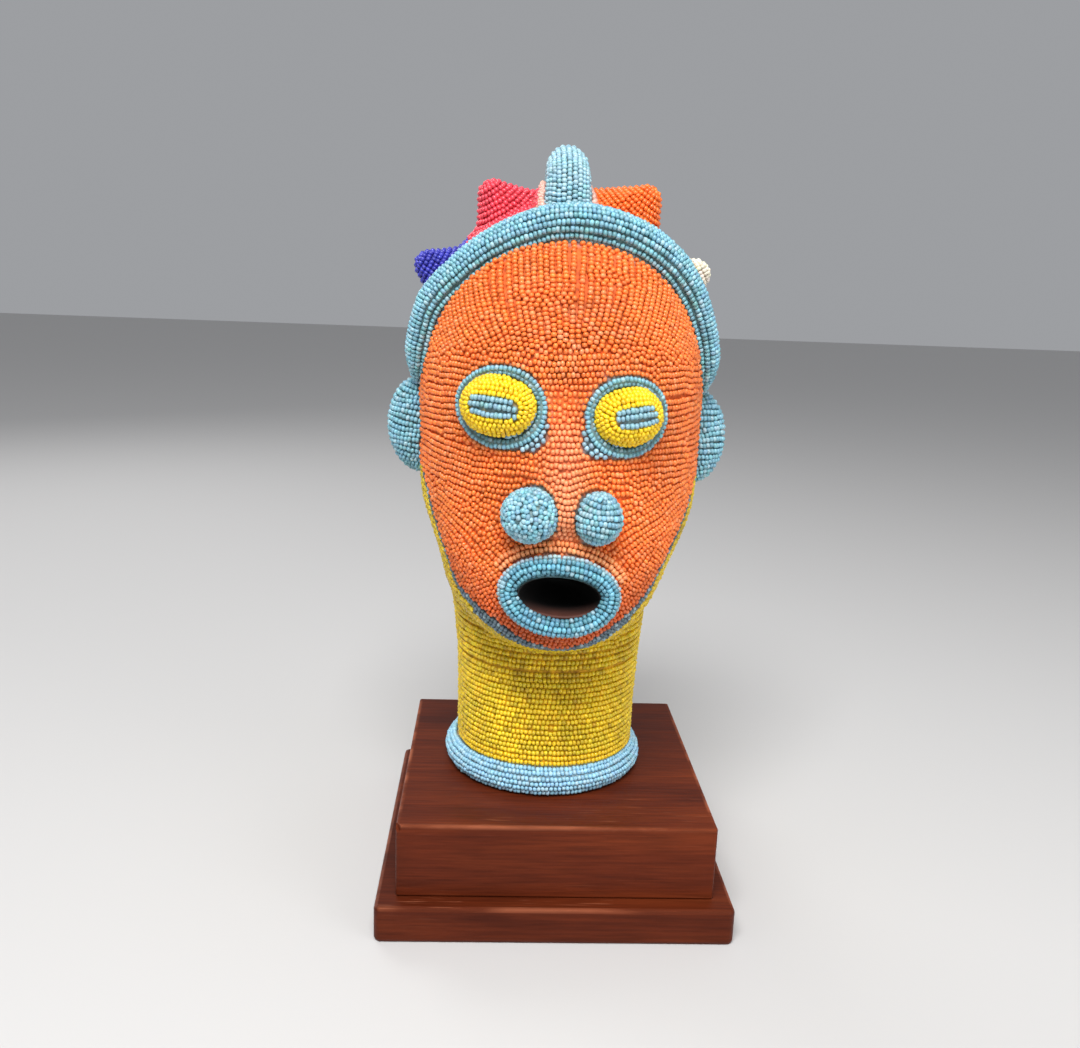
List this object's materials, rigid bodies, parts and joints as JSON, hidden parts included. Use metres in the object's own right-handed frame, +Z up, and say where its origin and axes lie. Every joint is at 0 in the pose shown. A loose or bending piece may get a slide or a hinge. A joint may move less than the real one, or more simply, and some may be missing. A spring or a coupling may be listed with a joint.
{
  "type": "beaded head sculpture",
  "caption": "Standing head sculpture covered in strung glass beads, with a crest, knobs and headband, on a stepped square wooden plinth.",
  "frame": {"origin": "middle of the plinth's underside", "axes": "+Z up through the neck, the face looks toward -Y, +X to the right seen from in front"},
  "size_m": [0.1518, 0.1532, 0.3218],
  "materials": {
    "glass_beads": "opaque glossy glass seed beads in orange, pale blue and yellow rows",
    "plinth_wood": "reddish brown stained and waxed, worn pale at the edges"
  },
  "bodies": {
    "root": {"beaded_head": "glass_beads", "plinth_block": "plinth_wood", "plinth_slab": "plinth_wood"}
  },
  "joints": []
}
